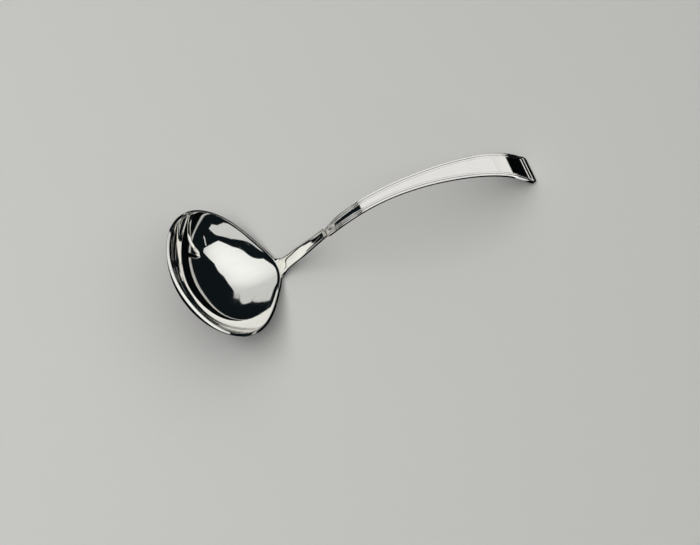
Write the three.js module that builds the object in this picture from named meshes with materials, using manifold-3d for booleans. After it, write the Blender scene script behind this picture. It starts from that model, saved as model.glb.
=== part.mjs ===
// Sauce ladle: a round drawn bowl, a neck soldered to its lip, and an arched strip
// handle with a double thread border. Millimetres and degrees, +Z up, and the part
// lies on z = 0 as it rests on a table, with the handle running towards +X.
import * as THREE from 'three';
import Module from 'manifold-3d';

// Bowl. The rim outline is a circle, made wider across than along and drawn out to a
// blunt point where the neck joins it.
const RIM_RADIUS = 31.4;
const RIM_OVAL = 0.056;
const RIM_EGG = 0.022;
const RIM_SQUARE = 0.016;
const RIM_POINT = 3.4;
const RIM_POINT_SPREAD = 20;
const BOWL_DEPTH = 16.6;
const BOWL_FULLNESS = 0.5;
const BOWL_SKEW = 1.8;
const BOWL_WALL = 1.3;
// The lip's crest stands in from the outline, falls outwards and is eased inwards.
const LIP_WIDTH = 1.5;
const LIP_CREST = 1.2;
const LIP_FALL = 0.7;
const LIP_EASE = 0.2;
const BOWL_TILT = 37.3;

// Neck, drawn in the bowl's own plane: distance out from the bowl centre, height above
// the rim. Its flared foot follows the lip's curve and stands on the lip.
const NECK_PATH = [[33.35, -0.9], [33.5, 0.2], [34.0, 4], [34.6, 8], [35.3, 13], [36.5, 22], [37.6, 32.4]];
// Along the neck: share of its length, half width, crown inside the path, depth outside it.
const NECK_STATIONS = [
  [0.00, 5.6, 0.4, 1.2],
  [0.03, 5.4, 0.45, 1.6],
  [0.07, 4.4, 0.5, 1.7],
  [0.12, 3.6, 0.55, 1.8],
  [0.19, 3.1, 0.6, 1.8],
  [0.28, 2.95, 0.6, 1.9],
  [0.42, 2.95, 0.65, 2.1],
  [0.55, 2.8, 0.7, 2.3],
  [0.75, 2.4, 0.75, 2.4],
  [1.00, 2.15, 0.8, 2.4],
];
const NECK_FOOT = [0.03, 0.16];
const NECK_END_BEVEL = 0.3;
const NECK_SECTION_POWER = 3.0;

// Handle strip. Its top face follows three arcs, given as length and turn: up over the
// neck, down to the tip, and a slight upturn under the end border.
const STRIP_START = [50.7, 2.2];
const STRIP_START_SLOPE = 59;
const STRIP_ARCS = [[48, -57.5], [73.8, -57.2], [5.8, 20]];
// Along the strip: distance from the shoulder, half width.
const STRIP_STATIONS = [
  [0, 2.0], [6, 2.55], [14, 2.95], [35, 3.25], [52, 3.75], [72, 4.85], [100, 6.25], [128.5, 7.5],
];
const STRIP_THICKNESS_SHOULDER = 2.0;
const STRIP_THICKNESS_END = 1.5;
const STRIP_CORNER_RADIUS = 2.1;
const THREAD_OUTER_WIDTH = 0.9;
const THREAD_INNER_WIDTH = 1.1;
const THREAD_HEIGHT = 0.3;
const THREAD_END_STRETCH = 2.9;
const EDGE_BEVEL = 0.3;
// Where the border's profile is sampled, measured in from the strip's outline.
const BORDER_INSETS = [0, 0.12, 0.45, 0.78, 0.9, 1.05, 1.45, 1.85, 2.0];

// Clearance left between soldered pieces, and the resting pitch of the whole ladle.
const JOINT_GAP = 0.3;
const REST_PITCH = 4.38;

const AROUND_BOWL = 72;
const RINGS_BOWL = 10;

const deg = THREE.MathUtils.degToRad;

function rimRadius(angle) {
  const wave = 1
    - RIM_OVAL * Math.cos(2 * angle)
    + RIM_EGG * Math.cos(3 * angle)
    + RIM_SQUARE * Math.cos(4 * angle);
  const fromNeck = Math.atan2(Math.sin(angle), Math.cos(angle)) / deg(RIM_POINT_SPREAD);
  return RIM_RADIUS * wave + RIM_POINT * Math.exp(-fromNeck * fromNeck);
}

function bowlDrop(share, angle, depth) {
  const square = share * share;
  const round = depth * (1 - square) * (1 + BOWL_FULLNESS * square);
  const skew = BOWL_SKEW * share * square * (1 - square) * Math.cos(angle);
  return round - skew;
}

// Carries a point from the bowl's own frame into the resting ladle's frame.
function fromBowl(x, y, z) {
  const tilt = deg(BOWL_TILT);
  return new THREE.Vector3(
    x * Math.cos(tilt) + z * Math.sin(tilt),
    y,
    -x * Math.sin(tilt) + z * Math.cos(tilt),
  );
}

function bowlRing(radiusAt, heightAt) {
  const ring = [];
  for (let i = 0; i < AROUND_BOWL; i += 1) {
    const angle = (2 * Math.PI * i) / AROUND_BOWL;
    const radius = radiusAt(angle);
    ring.push(fromBowl(radius * Math.cos(angle), radius * Math.sin(angle), heightAt(angle)));
  }
  return ring;
}

function outerWallRing(share, grow) {
  return bowlRing(
    (angle) => share * (rimRadius(angle) + grow),
    (angle) => -LIP_FALL - bowlDrop(share, angle, BOWL_DEPTH - LIP_FALL + grow),
  );
}

function innerWallRing(share) {
  return bowlRing(
    (angle) => share * (rimRadius(angle) - LIP_WIDTH),
    (angle) => -LIP_EASE - bowlDrop(share, angle, BOWL_DEPTH - BOWL_WALL - LIP_EASE),
  );
}

// Skins a stack of closed rings and closes both ends with a fan. The rings run
// anticlockwise when seen from the last ring's side.
function skin(rings, firstTip, lastTip) {
  const count = rings[0].length;
  const points = rings.flat();
  const faces = [];
  for (let r = 0; r + 1 < rings.length; r += 1) {
    for (let i = 0; i < count; i += 1) {
      const next = (i + 1) % count;
      const a = r * count + i;
      const b = r * count + next;
      faces.push(a, b, b + count, a, b + count, a + count);
    }
  }
  const first = points.push(firstTip) - 1;
  const last = points.push(lastTip) - 1;
  const top = (rings.length - 1) * count;
  for (let i = 0; i < count; i += 1) {
    const next = (i + 1) % count;
    faces.push(first, next, i);
    faces.push(last, top + i, top + next);
  }
  const geometry = new THREE.BufferGeometry().setFromPoints(points);
  geometry.setIndex(faces);
  return geometry;
}

function bowlGeometry() {
  const rings = [];
  for (let r = 1; r < RINGS_BOWL; r += 1) {
    rings.push(outerWallRing(r / RINGS_BOWL, 0));
  }
  rings.push(outerWallRing(1, 0));
  rings.push(bowlRing((angle) => rimRadius(angle) - 0.2 * LIP_FALL, () => -0.7 * LIP_FALL));
  rings.push(bowlRing((angle) => rimRadius(angle) - LIP_CREST, () => 0));
  for (let r = RINGS_BOWL; r > 0; r -= 1) {
    rings.push(innerWallRing(r / RINGS_BOWL));
  }
  const outside = fromBowl(0, 0, -BOWL_DEPTH);
  const inside = fromBowl(0, 0, -(BOWL_DEPTH - BOWL_WALL));
  return skin(rings, outside, inside);
}

// The bowl's outside, closed over its rim and grown by the joint gap, to trim the neck.
function neckCutterGeometry() {
  const rings = [];
  for (let r = 1; r <= RINGS_BOWL; r += 1) {
    rings.push(outerWallRing(r / RINGS_BOWL, JOINT_GAP));
  }
  rings.push(bowlRing((angle) => rimRadius(angle) + JOINT_GAP, () => JOINT_GAP));
  return skin(rings, fromBowl(0, 0, -BOWL_DEPTH - JOINT_GAP), fromBowl(0, 0, JOINT_GAP));
}

// Straight-line reading of a station table whose first column rises.
function stationAt(stations, at) {
  let k = 0;
  while (k + 2 < stations.length && stations[k + 1][0] < at) {
    k += 1;
  }
  const [low, high] = [stations[k], stations[k + 1]];
  const share = THREE.MathUtils.clamp((at - low[0]) / (high[0] - low[0]), 0, 1);
  return low.map((value, column) => value + (high[column] - value) * share);
}

// How far the rim's outline falls back at a distance across from the neck's line.
function rimFallBack(y) {
  let angle = 0;
  for (let k = 0; k < 4; k += 1) {
    angle = Math.asin(y / rimRadius(angle));
  }
  return rimRadius(angle) * Math.cos(angle) - rimRadius(0);
}

function neckSection(centre, along, halfWidth, crown, depth, conform) {
  const across = new THREE.Vector3(0, 1, 0);
  const up = new THREE.Vector3().crossVectors(along, across);
  const ring = [];
  const count = 28;
  for (let i = 0; i < count; i += 1) {
    const turn = (2 * Math.PI * i) / count;
    const c = Math.cos(turn);
    const s = Math.sin(turn);
    const power = 2 / NECK_SECTION_POWER;
    const y = halfWidth * Math.sign(c) * Math.abs(c) ** power;
    const z = (s > 0 ? crown : depth) * Math.sign(s) * Math.abs(s) ** power;
    ring.push(centre.clone().addScaledVector(across, y).addScaledVector(up, z)
      .add(fromBowl(conform * rimFallBack(y), 0, 0)));
  }
  return ring;
}

function rawNeckGeometry() {
  const path = new THREE.CatmullRomCurve3(NECK_PATH.map(([x, z]) => fromBowl(x, 0, z)));
  const steps = 26;
  const rings = [];
  for (let k = 0; k <= steps; k += 1) {
    const share = (k / steps) ** 1.4;
    const [, halfWidth, crown, depth] = stationAt(NECK_STATIONS, share);
    const inset = k === steps ? NECK_END_BEVEL : 0;
    const conform = THREE.MathUtils.clamp((NECK_FOOT[1] - share) / (NECK_FOOT[1] - NECK_FOOT[0]), 0, 1) ** 2;
    rings.push(neckSection(path.getPointAt(share), path.getTangentAt(share),
      halfWidth - inset, crown - inset, depth - inset, conform));
    if (k === steps - 1) {
      const near = 1 - NECK_END_BEVEL / path.getLength();
      const [, width, top, bottom] = stationAt(NECK_STATIONS, near);
      rings.push(neckSection(path.getPointAt(near), path.getTangentAt(near), width, top, bottom, 0));
    }
  }
  return skin(rings, path.getPointAt(0), path.getPointAt(1));
}

function toManifold(wasm, geometry) {
  return new wasm.Manifold(new wasm.Mesh({
    numProp: 3,
    vertProperties: new Float32Array(geometry.getAttribute('position').array),
    triVerts: new Uint32Array(geometry.getIndex().array),
  }));
}

function fromManifold(solid) {
  const mesh = solid.getMesh();
  const geometry = new THREE.BufferGeometry();
  geometry.setAttribute('position', new THREE.BufferAttribute(new Float32Array(mesh.vertProperties), 3));
  geometry.setIndex(new THREE.BufferAttribute(new Uint32Array(mesh.triVerts), 1));
  return geometry;
}

// Point and slope on the strip's top face at a distance from the shoulder.
function stripAt(distance) {
  let [x, z] = STRIP_START;
  let slope = deg(STRIP_START_SLOPE);
  let left = distance;
  for (const [length, turn] of STRIP_ARCS) {
    const run = Math.min(left, length);
    const bend = deg(turn) * (run / length);
    const radius = length / deg(turn);
    x += radius * (Math.sin(slope + bend) - Math.sin(slope));
    z -= radius * (Math.cos(slope + bend) - Math.cos(slope));
    slope += bend;
    left -= run;
  }
  x += left * Math.cos(slope);
  z += left * Math.sin(slope);
  return { x, z, slope };
}

const STRIP_LENGTH = STRIP_ARCS.reduce((sum, [length]) => sum + length, 0);
const BORDER_WIDTH = THREAD_OUTER_WIDTH + THREAD_INNER_WIDTH;

// Height of the top face at a distance in from the strip's outline: two round threads,
// then the sunk panel.
function borderHeight(inset) {
  if (inset >= BORDER_WIDTH) {
    return -THREAD_HEIGHT;
  }
  const outer = inset < THREAD_OUTER_WIDTH;
  const width = outer ? THREAD_OUTER_WIDTH : THREAD_INNER_WIDTH;
  const start = outer ? 0 : THREAD_OUTER_WIDTH;
  const across = (2 * (inset - start)) / width - 1;
  return -THREAD_HEIGHT + THREAD_HEIGHT * Math.sqrt(Math.max(0, 1 - across * across));
}

function stripHalfWidth(distance) {
  const width = stationAt(STRIP_STATIONS, distance)[1];
  const fromEnd = STRIP_LENGTH - distance;
  const radius = STRIP_CORNER_RADIUS;
  if (fromEnd >= radius) {
    return width;
  }
  return width - radius + Math.sqrt(radius * radius - (radius - fromEnd) ** 2);
}

function stripPoint(distance, y, height) {
  const { x, z, slope } = stripAt(distance);
  return new THREE.Vector3(x - height * Math.sin(slope), y, z + height * Math.cos(slope));
}

function stripSection(distance) {
  const halfWidth = stripHalfWidth(distance);
  const fromEnd = STRIP_LENGTH - distance;
  const narrow = Math.min(1, halfWidth / (BORDER_WIDTH + 0.9));
  const share = distance / STRIP_LENGTH;
  const thickness = THREE.MathUtils.lerp(STRIP_THICKNESS_SHOULDER, STRIP_THICKNESS_END, share);
  const place = (y, height) => stripPoint(distance, y, height);
  const topLine = BORDER_INSETS.map((inset) => [
    halfWidth - narrow * inset,
    narrow * borderHeight(Math.min(inset, fromEnd / THREAD_END_STRETCH)),
  ]);
  const ring = topLine.map(([y, height]) => place(-y, height));
  ring.push(place(0, narrow * borderHeight(Math.min(BORDER_WIDTH, fromEnd / THREAD_END_STRETCH))));
  ring.push(...topLine.slice().reverse().map(([y, height]) => place(y, height)));
  const sole = -thickness;
  const bottomLine = [
    [halfWidth, sole + EDGE_BEVEL],
    [halfWidth - EDGE_BEVEL, sole],
    [0, sole],
    [EDGE_BEVEL - halfWidth, sole],
    [-halfWidth, sole + EDGE_BEVEL],
  ];
  ring.push(...bottomLine.map(([y, height]) => place(y, height)));
  return ring;
}

function stripGeometry() {
  const distances = [0, 1.5, 3, 4.5, 6, 8, 10, 12, 14];
  const straight = STRIP_LENGTH - THREAD_END_STRETCH * BORDER_WIDTH - 14.5;
  const steps = 34;
  for (let k = 1; k <= steps; k += 1) {
    distances.push(14 + (straight * k) / steps);
  }
  const lines = BORDER_INSETS.slice().reverse();
  distances.push(...lines.map((inset) => STRIP_LENGTH - THREAD_END_STRETCH * inset));
  const rings = distances.map(stripSection).map((ring) => ring.reverse());
  const tip = (distance) => {
    const thickness = THREE.MathUtils.lerp(
      STRIP_THICKNESS_SHOULDER, STRIP_THICKNESS_END, distance / STRIP_LENGTH);
    return stripPoint(distance, 0, -0.6 * thickness);
  };
  return skin(rings, tip(0), tip(STRIP_LENGTH));
}

function silver(roughness) {
  return new THREE.MeshStandardMaterial({ color: 0xd9d8d4, roughness, metalness: 1 });
}

function addMesh(group, name, geometry, roughness) {
  geometry.computeVertexNormals();
  const mesh = new THREE.Mesh(geometry, silver(roughness));
  mesh.name = name;
  mesh.material.name = name;
  group.add(mesh);
}

const wasm = await Module();
wasm.setup();

const ladle = new THREE.Group();
ladle.name = 'sauce_ladle';

const neck = toManifold(wasm, rawNeckGeometry()).subtract(toManifold(wasm, neckCutterGeometry()));
addMesh(ladle, 'bowl', bowlGeometry(), 0.08);
addMesh(ladle, 'neck', fromManifold(neck), 0.1);
addMesh(ladle, 'handle', stripGeometry(), 0.1);

// Set the ladle down: pitch it onto its bowl, then centre its footprint over the origin.
ladle.children.forEach((mesh) => mesh.geometry.rotateY(deg(REST_PITCH)));
const bounds = new THREE.Box3().setFromObject(ladle);
const centre = bounds.getCenter(new THREE.Vector3());
ladle.children.forEach((mesh) => mesh.geometry.translate(-centre.x, -centre.y, -bounds.min.z));

export default ladle;
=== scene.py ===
"""Polished silver sauce ladle on a pale floor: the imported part's three nodes as fine smooth meshes."""

import math

import bpy
import numpy as np
from mathutils import Matrix, Vector


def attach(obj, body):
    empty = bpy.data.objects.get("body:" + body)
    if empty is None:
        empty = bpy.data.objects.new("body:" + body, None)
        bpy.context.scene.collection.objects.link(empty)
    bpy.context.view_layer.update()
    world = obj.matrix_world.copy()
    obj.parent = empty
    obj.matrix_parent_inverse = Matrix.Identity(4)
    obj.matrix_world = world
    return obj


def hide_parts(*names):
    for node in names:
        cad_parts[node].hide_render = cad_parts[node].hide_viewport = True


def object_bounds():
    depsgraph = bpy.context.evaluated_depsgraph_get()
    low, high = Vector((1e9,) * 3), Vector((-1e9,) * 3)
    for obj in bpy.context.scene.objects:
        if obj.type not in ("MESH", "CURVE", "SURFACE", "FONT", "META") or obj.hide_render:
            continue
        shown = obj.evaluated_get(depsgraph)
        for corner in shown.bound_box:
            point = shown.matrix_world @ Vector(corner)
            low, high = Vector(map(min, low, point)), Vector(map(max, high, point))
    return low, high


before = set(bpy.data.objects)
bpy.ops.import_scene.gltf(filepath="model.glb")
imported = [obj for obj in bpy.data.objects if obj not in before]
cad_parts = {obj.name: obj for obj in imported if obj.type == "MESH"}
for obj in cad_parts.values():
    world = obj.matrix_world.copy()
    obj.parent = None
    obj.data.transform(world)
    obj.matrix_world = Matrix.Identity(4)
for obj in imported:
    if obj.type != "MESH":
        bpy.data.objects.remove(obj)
cad_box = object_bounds()

# ---------------------------------------------------------------- dimensions, in millimetres and degrees
RIM_RADIUS = 31.4
RIM_OVAL, RIM_EGG, RIM_SQUARE = 0.056, 0.022, 0.016
RIM_POINT, RIM_POINT_SPREAD = 3.4, 20.0
BOWL_DEPTH, BOWL_WALL, LIP_WIDTH = 16.6, 1.3, 1.5
BOWL_FULLNESS, BOWL_SKEW = 0.5, 1.8
BOWL_TILT, REST_PITCH = 37.3, 4.38
# how far below the rim plane the lip's section starts outside and ends inside
LIP_OUTSIDE_DROP, LIP_INSIDE_DROP = 0.8, 0.3
OUTER_WALL_INSET = 0.1
# the lip's section from outside to inside: out from the rim's outline, height above its plane
LIP_SECTION = [
    (-0.02, -0.72), (0.0, -0.64), (-0.04, -0.56), (-0.12, -0.49), (-0.26, -0.42), (-0.46, -0.33),
    (-0.7, -0.22), (-0.92, -0.12), (-1.1, -0.05), (-1.24, -0.01), (-1.34, -0.02), (-1.43, -0.08),
    (-1.5, -0.22),
]

# out from the bowl's centre, height above the rim plane
NECK_PATH = [
    (33.35, -0.9), (33.5, 0.2), (34.0, 4.0), (34.6, 8.0), (35.3, 13.0), (36.5, 22.0), (37.6, 32.4),
]
# share of the neck's length, half width, crown inside the path, depth outside it
NECK_STATIONS = [
    (0.00, 5.6, 0.4, 1.2),
    (0.03, 5.4, 0.45, 1.6),
    (0.07, 4.4, 0.5, 1.7),
    (0.12, 3.6, 0.55, 1.8),
    (0.19, 3.1, 0.6, 1.8),
    (0.28, 2.95, 0.6, 1.9),
    (0.42, 2.95, 0.65, 2.1),
    (0.55, 2.8, 0.7, 2.3),
    (0.75, 2.4, 0.75, 2.4),
    (1.00, 2.15, 0.8, 2.4),
]
NECK_SECTION_POWER = 3.0
# between these shares of its length the foot stops following the lip's curve
NECK_FOOT = (0.03, 0.16)
NECK_TARNISH = 0.035
# the rounded bevel at the shoulder: in from the section, along the neck
NECK_BEVEL = [(0.0, 0.0), (0.1, 0.03), (0.2, 0.1), (0.27, 0.2), (0.3, 0.33)]

# the strip's top face: three arcs, as length and turn
STRIP_START, STRIP_START_SLOPE = (50.7, 2.2), 59.0
STRIP_ARCS = [(48.0, -57.5), (73.8, -57.2), (5.8, 20.0)]
STRIP_LENGTH = sum(length for length, _ in STRIP_ARCS)
# distance from the shoulder, half width
STRIP_STATIONS = [
    (0, 2.0), (6, 2.55), (14, 2.95), (35, 3.25), (52, 3.75), (72, 4.85), (100, 6.25), (128.5, 7.5),
]
STRIP_THICK, STRIP_THIN = 2.0, 1.5
CORNER_RADIUS = 2.1
STRIP_TARNISH = 9.0

# the border, in from the outline. Threads: start, end, top, roundness. Grooves: place, spread, depth
BORDER_WIDTH, PANEL_SINK = 2.0, 0.2
THREADS = [(-0.02, 0.97, 0.0, 0.17), (1.07, 1.93, -0.03, 0.13)]
GROOVES = [(1.02, 0.085, 0.2), (1.96, 0.07, 0.05)]
GROOVE_TARNISH = [(1.02, 0.13, 1.0), (1.96, 0.08, 0.7)]
BORDER_REACH = 2.2
# across the end the border is wider, and its inner thread slopes down towards the panel
END_STRETCH, END_LEAN = 2.9, 0.35
LEAN_INSETS, LEAN_SHARES = [1.05, 1.15, 2.0, 2.1], [0, 1, 0, 0]
# the sole's half section: in from the edge, above the sole
SOLE_BEVEL = [(0.0, 0.3), (0.04, 0.14), (0.14, 0.04), (0.3, 0.0)]


# ---------------------------------------------------------------- small maths
def smooth_table(table, column, at):
    """Reads a station table through a monotone cubic."""
    x = np.array([row[0] for row in table], float)
    y = np.array([row[column] for row in table], float)
    step = np.diff(x)
    slope = np.diff(y) / step
    tangent = np.zeros_like(y)
    tangent[0], tangent[-1] = slope[0], slope[-1]
    same = slope[:-1] * slope[1:] > 0
    a = 2 * step[1:] + step[:-1]
    b = step[1:] + 2 * step[:-1]
    inner = np.zeros(len(y) - 2)
    inner[same] = (a + b)[same] / (a[same] / slope[:-1][same] + b[same] / slope[1:][same])
    tangent[1:-1] = inner
    at = np.clip(np.asarray(at, float), x[0], x[-1])
    k = np.clip(np.searchsorted(x, at, side="right") - 1, 0, len(x) - 2)
    t = (at - x[k]) / step[k]
    return (
        (1 + 2 * t) * (1 - t) ** 2 * y[k]
        + t * (1 - t) ** 2 * step[k] * tangent[k]
        + t * t * (3 - 2 * t) * y[k + 1]
        + t * t * (t - 1) * step[k] * tangent[k + 1]
    )


def catmull(points, count):
    """Evenly spaced points along a centripetal curve through the given ones."""
    p = np.array(points, float)
    p = np.vstack([2 * p[0] - p[1], p, 2 * p[-1] - p[-2]])
    knots = np.concatenate([[0], np.cumsum(np.linalg.norm(np.diff(p, axis=0), axis=1) ** 0.5)])
    fine = []
    for k in range(1, len(p) - 2):
        t0, t1, t2, t3 = knots[k - 1 : k + 3]
        t = np.linspace(t1, t2, 60)[:, None]
        a1 = (t1 - t) / (t1 - t0) * p[k - 1] + (t - t0) / (t1 - t0) * p[k]
        a2 = (t2 - t) / (t2 - t1) * p[k] + (t - t1) / (t2 - t1) * p[k + 1]
        a3 = (t3 - t) / (t3 - t2) * p[k + 1] + (t - t2) / (t3 - t2) * p[k + 2]
        b1 = (t2 - t) / (t2 - t0) * a1 + (t - t0) / (t2 - t0) * a2
        b2 = (t3 - t) / (t3 - t1) * a2 + (t - t1) / (t3 - t1) * a3
        fine.append((t2 - t) / (t2 - t1) * b1 + (t - t1) / (t2 - t1) * b2)
    fine = np.vstack(fine)
    run = np.concatenate([[0], np.cumsum(np.linalg.norm(np.diff(fine, axis=0), axis=1))])
    at = np.linspace(0, run[-1], count)
    return np.stack([np.interp(at, run, fine[:, k]) for k in range(p.shape[1])], axis=1)


def from_bowl(points):
    """From the bowl's own frame, rim plane flat, to the ladle's."""
    tilt = math.radians(BOWL_TILT)
    x, y, z = points[..., 0], points[..., 1], points[..., 2]
    return np.stack(
        [x * math.cos(tilt) + z * math.sin(tilt), y, -x * math.sin(tilt) + z * math.cos(tilt)], axis=-1
    )


def rim_radius(angle):
    wave = 1 - RIM_OVAL * np.cos(2 * angle) + RIM_EGG * np.cos(3 * angle) + RIM_SQUARE * np.cos(4 * angle)
    turn = np.arctan2(np.sin(angle), np.cos(angle)) / math.radians(RIM_POINT_SPREAD)
    return RIM_RADIUS * wave + RIM_POINT * np.exp(-turn * turn)


def bowl_drop(share, angle, depth):
    q = share * share
    return depth * (1 - q) * (1 + BOWL_FULLNESS * q) - BOWL_SKEW * share * q * (1 - q) * np.cos(angle)


# ---------------------------------------------------------------- meshes, as stacks of closed rings
SHARP_ANGLE = 40.0


def solid_from_rings(name, rings, first, last, marks):
    """A closed smooth mesh from rings (count, around, 3) in millimetres, capped with a fan at each end.

    The marks, one for each point of the rings, say how tarnished it is, from 0 to 1.
    """
    count, around, _ = rings.shape
    verts = np.vstack([rings.reshape(-1, 3), first, last])
    faces = []
    i = np.arange(around)
    j = (i + 1) % around
    for r in range(count - 1):
        a, b = r * around + i, r * around + j
        faces.extend(np.stack([a, b, b + around, a + around], axis=1).tolist())
    tail = count * around
    top = (count - 1) * around
    faces.extend(np.stack([np.full(around, tail), j, i], axis=1).tolist())
    faces.extend(np.stack([np.full(around, tail + 1), top + i, top + j], axis=1).tolist())
    mesh = bpy.data.meshes.new(name)
    mesh.from_pydata(verts.tolist(), [], faces)
    mesh.validate()
    recess = mesh.attributes.new("recess", "FLOAT", "POINT")
    values = np.concatenate([marks.reshape(-1), [0.0, 0.0]]).astype(np.float32)
    recess.data.foreach_set("value", values)
    mesh.polygons.foreach_set("use_smooth", [True] * len(mesh.polygons))
    mesh.set_sharp_from_angle(angle=math.radians(SHARP_ANGLE))
    obj = bpy.data.objects.new(name, mesh)
    bpy.context.scene.collection.objects.link(obj)
    return obj


def make_bowl():
    around = 288
    angle = np.linspace(0, 2 * math.pi, around, endpoint=False)
    rim = rim_radius(angle)
    steps = np.linspace(0, 1, 72)[1:]
    outer_rim, inner_rim = rim - OUTER_WALL_INSET, rim - LIP_WIDTH
    outer_depth = BOWL_DEPTH - LIP_OUTSIDE_DROP
    inner_depth = BOWL_DEPTH - BOWL_WALL - LIP_INSIDE_DROP
    rings = []
    for share in steps[:-1]:
        rings.append((share * outer_rim, -LIP_OUTSIDE_DROP - bowl_drop(share, angle, outer_depth)))
    rings.append((outer_rim, np.full(around, -LIP_OUTSIDE_DROP)))
    for out, height in LIP_SECTION:
        rings.append((rim + out, np.full(around, height)))
    for share in steps[::-1][1:]:
        rings.append((share * inner_rim, -LIP_INSIDE_DROP - bowl_drop(share, angle, inner_depth)))
    stack = np.stack([np.stack([r * np.cos(angle), r * np.sin(angle), z], axis=1) for r, z in rings])
    marks = np.zeros((len(rings), around))
    first = from_bowl(np.array([[0, 0, -BOWL_DEPTH]], float))
    last = from_bowl(np.array([[0, 0, -(BOWL_DEPTH - BOWL_WALL)]], float))
    return solid_from_rings("silver_bowl", from_bowl(stack), first, last, marks)


def make_neck():
    steps = 180
    around = 112
    path = catmull(NECK_PATH, steps + 1)
    tangent = np.gradient(path, axis=0)
    tangent /= np.linalg.norm(tangent, axis=1)[:, None]
    share = np.linspace(0, 1, steps + 1)
    width = smooth_table(NECK_STATIONS, 1, share)
    crown = smooth_table(NECK_STATIONS, 2, share)
    depth = smooth_table(NECK_STATIONS, 3, share)
    turn = np.linspace(0, 2 * math.pi, around, endpoint=False)
    c, s = np.cos(turn), np.sin(turn)
    rim_angle = np.linspace(-0.3, 0.3, 61)
    rim_y = rim_radius(rim_angle) * np.sin(rim_angle)
    rim_x = rim_radius(rim_angle) * np.cos(rim_angle)
    rings, marks = [], []

    def ring(k, inset, forward):
        power = 2 / NECK_SECTION_POWER
        y = (width[k] - inset) * np.sign(c) * np.abs(c) ** power
        high = np.where(s > 0, crown[k], depth[k]) - inset
        up = high * np.sign(s) * np.abs(s) ** power
        tx, tz = tangent[k]
        x = path[k, 0] - up * tz + forward * tx
        z = path[k, 1] + up * tx + forward * tz
        fade = np.clip((NECK_FOOT[1] - share[k]) / (NECK_FOOT[1] - NECK_FOOT[0]), 0, 1) ** 2
        x = x + fade * (np.interp(y, rim_y, rim_x) - rim_radius(0.0))
        rings.append(np.stack([x, y, z], axis=1))
        marks.append(max(0.0, 1 - share[k] / NECK_TARNISH))

    for k in range(steps):
        ring(k, 0.0, 0.0)
    for inset, forward in NECK_BEVEL:
        ring(steps, inset, forward - NECK_BEVEL[-1][1])
    stack = np.stack(rings)
    marks = np.repeat(np.array(marks)[:, None], around, axis=1)
    start = np.array([[path[0, 0], 0, path[0, 1]]])
    end = stack[-1].mean(axis=0)[None]
    return solid_from_rings("silver_neck", from_bowl(stack), from_bowl(start), from_bowl(end), marks)


def strip_at(distance):
    """Place and slope of the strip's top face at distances from the shoulder."""
    x = np.full_like(distance, STRIP_START[0])
    z = np.full_like(distance, STRIP_START[1])
    slope = np.full_like(distance, math.radians(STRIP_START_SLOPE))
    left = distance.copy()
    for length, turn in STRIP_ARCS:
        run = np.clip(left, None, length)
        bend = math.radians(turn) * run / length
        radius = length / math.radians(turn)
        x = x + radius * (np.sin(slope + bend) - np.sin(slope))
        z = z - radius * (np.cos(slope + bend) - np.cos(slope))
        slope = slope + bend
        left = left - run
    return x + left * np.cos(slope), z + left * np.sin(slope), slope


def border(inset):
    """Height of the top face at a distance in from the outline, and how deep in a groove it is."""
    height = np.full_like(inset, -PANEL_SINK)
    for start, end, top, arch in THREADS:
        across = (2 * inset - start - end) / (end - start)
        height = np.where(np.abs(across) <= 1, top - arch * np.abs(across) ** 2.5, height)
    for place, spread, depth in GROOVES:
        height = height - depth * np.exp(-(((inset - place) / spread) ** 2))
    groove = np.zeros_like(inset)
    for place, spread, share in GROOVE_TARNISH:
        groove = groove + share * np.exp(-(((inset - place) / spread) ** 2))
    return height, groove


def make_handle():
    # the rows lie closer over the last 6.6 mm, where the border crosses the end
    body_rows = 330
    end_rows = np.concatenate([np.linspace(6.6, 0.02, 150), [0.0]])
    distance = np.concatenate([np.linspace(0, STRIP_LENGTH - 6.7, body_rows), STRIP_LENGTH - end_rows])
    width = smooth_table(STRIP_STATIONS, 1, distance)
    from_end = STRIP_LENGTH - distance
    inside = np.clip(CORNER_RADIUS - from_end, 0, CORNER_RADIUS)
    half = width - CORNER_RADIUS + np.sqrt(CORNER_RADIUS**2 - inside**2)
    insets = np.concatenate([np.linspace(0, BORDER_REACH, 60), [BORDER_REACH + 0.4]])
    narrow = np.minimum(1, half / (BORDER_WIDTH + 0.9))
    thick = STRIP_THICK + (STRIP_THIN - STRIP_THICK) * distance / STRIP_LENGTH
    x, z, slope = strip_at(distance)
    rings, marks = [], []
    for k in range(len(distance)):
        side = insets * min(1.0, half[k] * 0.96 / insets[-1])
        lateral = side / narrow[k]
        from_end_line = from_end[k] / END_STRETCH
        height, groove = border(np.clip(np.minimum(lateral, from_end_line), 0, None))
        lean = np.interp(from_end_line, LEAN_INSETS, LEAN_SHARES)
        height = height + END_LEAN * lean * (lateral > from_end_line)
        height = height * narrow[k]
        y_top = np.concatenate([-(half[k] - side), half[k] - side[::-1]])
        h_top = np.concatenate([height, height[::-1]])
        g_top = np.concatenate([groove, groove[::-1]])
        under_y = np.array([half[k] - inward for inward, _ in SOLE_BEVEL] + [half[k] * 0.5])
        under_h = np.array([above for _, above in SOLE_BEVEL] + [0.0]) - thick[k]
        y = np.concatenate([y_top, under_y, -under_y[::-1]])
        h = np.concatenate([h_top, under_h, under_h[::-1]])
        g = np.concatenate([g_top, np.zeros(2 * len(under_y))])
        rings.append(np.stack([x[k] - h * np.sin(slope[k]), y, z[k] + h * np.cos(slope[k])], axis=1))
        marks.append(np.maximum(g, 0.9 * np.clip(1 - distance[k] / STRIP_TARNISH, 0, 1)))
    stack = np.stack(rings)[:, ::-1]
    marks = np.stack(marks)[:, ::-1]
    first = stack[0].mean(axis=0)[None]
    last = stack[-1].mean(axis=0)[None]
    return solid_from_rings("silver_handle", stack, first, last, marks)


bowl, neck, handle = make_bowl(), make_neck(), make_handle()

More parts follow.
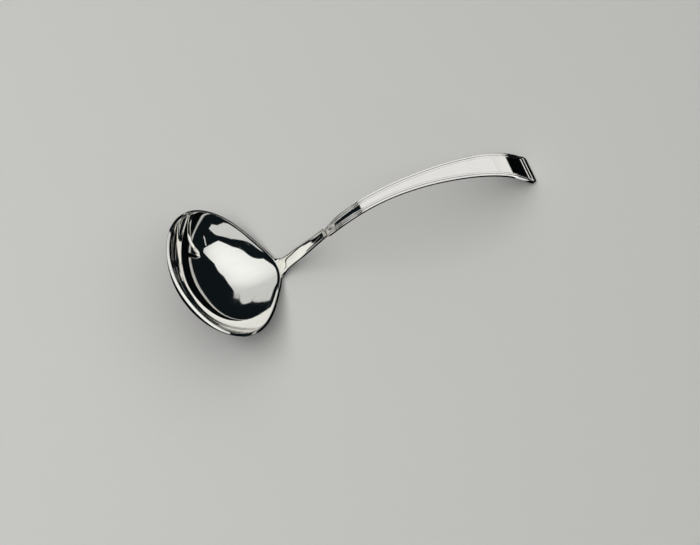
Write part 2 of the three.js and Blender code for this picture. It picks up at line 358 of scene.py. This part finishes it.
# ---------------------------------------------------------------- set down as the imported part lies
pitch = Matrix.Rotation(math.radians(REST_PITCH), 4, "Y")
scale = Matrix.Scale(0.001, 4)
for obj in (bowl, neck, handle):
    obj.data.transform(scale @ pitch)
tip_x = max(v.co.x for v in handle.data.vertices)
low_z = min(min(v.co.z for v in o.data.vertices) for o in (bowl, neck, handle))
set_down = Vector((cad_box[1].x - tip_x, 0, cad_box[0].z - low_z))
for obj, node in ((bowl, "bowl"), (neck, "neck"), (handle, "handle")):
    obj.data.transform(Matrix.Translation(set_down))
    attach(obj, "root")
    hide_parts(node)


# ---------------------------------------------------------------- polished silver
def silver(name, grain_scale, seed):
    """Mirror-polished silver: hairline scratches, faint handling haze, dark oxide in the recesses."""
    mat = bpy.data.materials.new(name)
    mat.use_nodes = True
    nodes, links = mat.node_tree.nodes, mat.node_tree.links
    shader = nodes["Principled BSDF"]
    shader.inputs["Metallic"].default_value = 1.0
    coords = nodes.new("ShaderNodeTexCoord")

    def mapped(scale, turn):
        node = nodes.new("ShaderNodeMapping")
        node.inputs["Scale"].default_value = scale
        node.inputs["Rotation"].default_value = turn
        node.inputs["Location"].default_value = (seed, 2 * seed, 3 * seed)
        links.new(coords.outputs["Object"], node.inputs["Vector"])
        return node.outputs["Vector"]

    def noise(vector, scale, detail, rough=0.5):
        node = nodes.new("ShaderNodeTexNoise")
        node.inputs["Scale"].default_value = scale
        node.inputs["Detail"].default_value = detail
        node.inputs["Roughness"].default_value = rough
        links.new(vector, node.inputs["Vector"])
        return node.outputs["Fac"]

    def ramp(value, low, high, out_low, out_high):
        node = nodes.new("ShaderNodeMapRange")
        node.inputs["From Min"].default_value = low
        node.inputs["From Max"].default_value = high
        node.inputs["To Min"].default_value = out_low
        node.inputs["To Max"].default_value = out_high
        links.new(value, node.inputs["Value"])
        return node.outputs["Result"]

    def combine(kind, a, b):
        node = nodes.new("ShaderNodeMath")
        node.operation = kind
        links.new(a, node.inputs[0])
        if isinstance(b, float):
            node.inputs[1].default_value = b
        else:
            links.new(b, node.inputs[1])
        return node.outputs[0]

    haze = noise(mapped((1, 1, 1), (0, 0, 0)), 38.0, 3.0)
    smear = noise(mapped((1, 3.5, 1), (0.3, 0.2, 0.9)), 110.0, 4.0, 0.6)
    hair_a = noise(mapped(grain_scale, (0.1, 0.25, 0.35)), 420.0, 2.0, 0.7)
    hair_b = noise(mapped(grain_scale, (-0.2, 0.6, -0.8)), 560.0, 2.0, 0.7)
    scratches = combine("MAXIMUM", ramp(hair_a, 0.64, 0.74, 0.0, 1.0), ramp(hair_b, 0.66, 0.76, 0.0, 0.8))
    recess = nodes.new("ShaderNodeAttribute")
    recess.attribute_name = "recess"

    rough = combine("ADD", ramp(haze, 0.35, 0.7, 0.018, 0.04), ramp(smear, 0.45, 0.75, 0.0, 0.02))
    rough = combine("ADD", rough, combine("MULTIPLY", scratches, 0.05))
    rough = combine("ADD", rough, combine("MULTIPLY", recess.outputs["Fac"], 0.22))
    links.new(rough, shader.inputs["Roughness"])

    tone = nodes.new("ShaderNodeMix")
    tone.data_type = "RGBA"
    tone.inputs[6].default_value = (0.955, 0.945, 0.918, 1)
    tone.inputs[7].default_value = (0.925, 0.908, 0.872, 1)
    links.new(ramp(smear, 0.4, 0.8, 0.0, 1.0), tone.inputs[0])
    oxide = nodes.new("ShaderNodeMix")
    oxide.data_type = "RGBA"
    oxide.inputs[7].default_value = (0.30, 0.275, 0.24, 1)
    links.new(ramp(recess.outputs["Fac"], 0.25, 1.0, 0.0, 0.75), oxide.inputs[0])
    links.new(tone.outputs[2], oxide.inputs[6])
    links.new(oxide.outputs[2], shader.inputs["Base Color"])

    bump = nodes.new("ShaderNodeBump")
    bump.inputs["Strength"].default_value = 0.06
    bump.inputs["Distance"].default_value = 0.00002
    links.new(combine("SUBTRACT", smear, scratches), bump.inputs["Height"])
    links.new(bump.outputs["Normal"], shader.inputs["Normal"])
    return mat


bowl.data.materials.append(silver("bowl_silver", (1, 9, 1), 0.0))
neck.data.materials.append(silver("neck_silver", (0.15, 1, 1), 1.7))
handle.data.materials.append(silver("handle_silver", (0.12, 1, 1), 3.1))


# ---------------------------------------------------------------- camera, on the rest frame
def to_rest(point):
    return (scale @ pitch) @ Vector(point) + set_down


def turned(direction):
    return (pitch.to_3x3() @ Vector(direction)).normalized()


# the viewpoint, given for the ladle before REST_PITCH: place in millimetres, and two of its axes
VIEW_FROM = (-43.6, -246.6, 630.5)
VIEW_RIGHT, VIEW_DOWN = (0.9292, -0.3694, 0.0122), (-0.3403, -0.8678, -0.3622)
LENS, SENSOR = 75.16, 36.0

camera = bpy.data.objects.new("camera", bpy.data.cameras.new("camera"))
camera.data.sensor_width = SENSOR
camera.data.lens = LENS
camera.data.clip_start, camera.data.clip_end = 0.01, 20
right, down = turned(VIEW_RIGHT), turned(VIEW_DOWN)
back = right.cross(-down).normalized()
upward = back.cross(right)
rotation = Matrix((right, upward, back)).transposed()
camera.matrix_world = Matrix.Translation(to_rest(VIEW_FROM)) @ rotation.to_4x4()
bpy.context.scene.collection.objects.link(camera)
bpy.context.scene.camera = camera


# ---------------------------------------------------------------- studio, in metres
HIGH, CLOTH_HEIGHT, FLOOR_DROP = 1.0, 0.0001, 0.00005
# outlines on the plane at HIGH, shaped after the patches of light that the polished bowl mirrors
SOFTBOX_MAIN = [
    (-0.2, -0.47), (0.0, -0.58), (0.15, -0.61), (0.5, -0.88), (1.0, -0.85), (1.8, -0.85), (2.0, -0.65),
    (1.22, -0.1), (1.37, 0.2), (1.42, 0.9), (1.5, 1.58), (1.1, 1.68), (0.95, 2.0), (0.5, 2.25), (0.1, 3.2),
    (-0.35, 4.6), (-0.42, 2.5), (-0.36, 0.3),
]
SOFTBOX_SECOND = [
    (-0.35, -0.72), (-0.1, -0.77), (0.07, -0.83), (0.3, -1.0), (0.45, -1.1), (0.65, -1.3), (0.85, -1.6),
    (1.3, -2.3), (1.0, -2.5), (0.5, -1.85), (0.1, -1.72), (-0.1, -1.6), (-0.35, -1.0),
]
SOFTBOX_STRIP = [(1.40, -0.9), (1.52, -0.95), (1.75, -1.5), (2.0, -1.9), (1.9, -1.95), (1.6, -1.5)]
FLAG_CLOTH = [
    (-0.125, -0.035), (-0.05, -0.1), (0.0, -0.15), (0.125, -0.15), (0.125, 0.4), (0.0, 0.3), (-0.06, 0.06),
    (-0.125, 0.035),
]
# soft panels that only the handle sees: name, centre, size, turn in degrees, radiance
HANDLE_PANELS = [
    ("handle_sky", (0.275, 0.1, 0.95), (2.45, 2.2), (0, 0, 0), 0.78),
    ("handle_wall", (1.5, 0.1, 0.475), (0.95, 2.2), (0, 90, 0), 0.78),
    ("handle_floor", (0.84, 0.3, 0.0005), (1.424, 1.6), (180, 0, 0), 0.3),
    ("handle_floor_far", (1.05, 0.4, 0.0007), (0.9, 1.4), (180, 0, 0), 0.1),
    ("handle_back", (0.15, 1.2, 0.65), (2.7, 0.6), (-90, 0, 0), 0.78),
    ("handle_front", (0.15, -1.0, 0.475), (2.7, 0.95), (90, 0, 0), 0.7),
    ("handle_left", (-1.2, -0.525, 0.55), (0.7, 0.95), (0, -90, 0), 0.78),
    ("handle_corner", (-1.2, 1.14, 0.55), (0.7, 0.72), (0, -90, 0), 0.78),
    ("handle_side", (-0.05, -0.16, 0.0005), (0.24, 0.22), (180, 0, 0), 0.7),
    ("handle_tip", (0.125, -0.06, 0.0006), (0.09, 0.1), (180, 0, 0), 0.7),
]


def plain_material(name, colour, roughness):
    mat = bpy.data.materials.new(name)
    mat.use_nodes = True
    shader = mat.node_tree.nodes["Principled BSDF"]
    shader.inputs["Base Color"].default_value = colour
    shader.inputs["Roughness"].default_value = roughness
    shader.inputs["Specular IOR Level"].default_value = 0.1
    return mat


def panel(name, outline, height, material):
    """A flat sheet at a height, which belongs to the studio and not to the ladle."""
    mesh = bpy.data.meshes.new(name)
    mesh.from_pydata([(x, y, height) for x, y in outline], [], [list(range(len(outline)))])
    obj = bpy.data.objects.new(name, mesh)
    mesh.materials.append(material)
    bpy.context.scene.collection.objects.link(obj)
    return obj


floor_paper = plain_material("floor_paper", (0.8, 0.79, 0.77, 1), 0.9)
floor = panel("floor", [(-3, -3), (3, -3), (3, 3), (-3, 3)], 0, floor_paper)
floor.location.z = -FLOOR_DROP


def glow(name, strength, edge, centre, reach):
    """Emission that falls from strength at the centre to a share of it at the reach, as a softbox does."""
    mat = bpy.data.materials.new(name)
    mat.use_nodes = True
    nodes, links = mat.node_tree.nodes, mat.node_tree.links
    nodes.clear()
    shade = nodes.new("ShaderNodeEmission")
    shade.inputs["Color"].default_value = (0.985, 1.0, 0.98, 1)
    coords = nodes.new("ShaderNodeTexCoord")
    away = nodes.new("ShaderNodeVectorMath")
    away.operation = "DISTANCE"
    away.inputs[1].default_value = centre
    fall = nodes.new("ShaderNodeMapRange")
    fall.interpolation_type = "SMOOTHSTEP"
    fall.inputs["From Max"].default_value = reach
    fall.inputs["To Min"].default_value = strength
    fall.inputs["To Max"].default_value = strength * edge
    links.new(coords.outputs["Object"], away.inputs[0])
    links.new(away.outputs["Value"], fall.inputs["Value"])
    links.new(fall.outputs["Result"], shade.inputs["Strength"])
    out = nodes.new("ShaderNodeOutputMaterial")
    links.new(shade.outputs[0], out.inputs["Surface"])
    return mat


# the softboxes light everything but the handle, which has panels of its own
aimed = bpy.data.collections.new("aimed_at_handle")
aimed.objects.link(handle)
others = bpy.data.collections.new("aimed_at_the_rest")
for obj in (bowl, neck, floor):
    others.objects.link(obj)


def softbox(name, outline, strength, edge=1.0, centre=(0, 0, 0), reach=1.0):
    obj = panel(name, outline, HIGH, glow(name + "_light", strength, edge, centre, reach))
    obj.light_linking.receiver_collection = others
    obj.visible_camera = False
    return obj


softbox("softbox_main", SOFTBOX_MAIN, 0.95, 0.62, (0.45, -0.2, HIGH), 1.9)
softbox("softbox_second", SOFTBOX_SECOND, 0.6)
softbox("softbox_strip", SOFTBOX_STRIP, 0.6)

# a dark cloth that shows in reflections only
flag_black = plain_material("flag_cloth_black", (0.006, 0.008, 0.009, 1), 1.0)
flag = panel("flag_cloth", FLAG_CLOTH, CLOTH_HEIGHT, flag_black)
flag.visible_camera = flag.visible_diffuse = flag.visible_shadow = False


def aimed_panel(name, centre, size, turn, radiance):
    lamp = bpy.data.objects.new(name, bpy.data.lights.new(name, "AREA"))
    lamp.data.shape = "RECTANGLE"
    lamp.data.size, lamp.data.size_y = size
    lamp.data.energy = radiance * math.pi * size[0] * size[1]
    lamp.location = centre
    lamp.rotation_euler = [math.radians(t) for t in turn]
    lamp.light_linking.receiver_collection = aimed
    lamp.visible_camera = lamp.visible_diffuse = False
    bpy.context.scene.collection.objects.link(lamp)


for handle_panel in HANDLE_PANELS:
    aimed_panel(*handle_panel)

# light for the floor and the shadows, which the silver doesn't mirror
fill = bpy.data.objects.new("fill", bpy.data.lights.new("fill", "AREA"))
fill.data.shape = "RECTANGLE"
fill.data.size, fill.data.size_y = 1.6, 1.6
fill.data.energy = 28
fill.location = (-0.3, 0.2, 1.5)
fill.visible_glossy = False
bpy.context.scene.collection.objects.link(fill)

world = bpy.data.worlds.new("studio")
world.use_nodes = True
world.node_tree.nodes["Background"].inputs["Color"].default_value = (0.0045, 0.007, 0.0085, 1)
world.node_tree.nodes["Background"].inputs["Strength"].default_value = 1.0
bpy.context.scene.world = world
bpy.context.scene.view_settings.view_transform = "Standard"

bpy.context.view_layer.update()
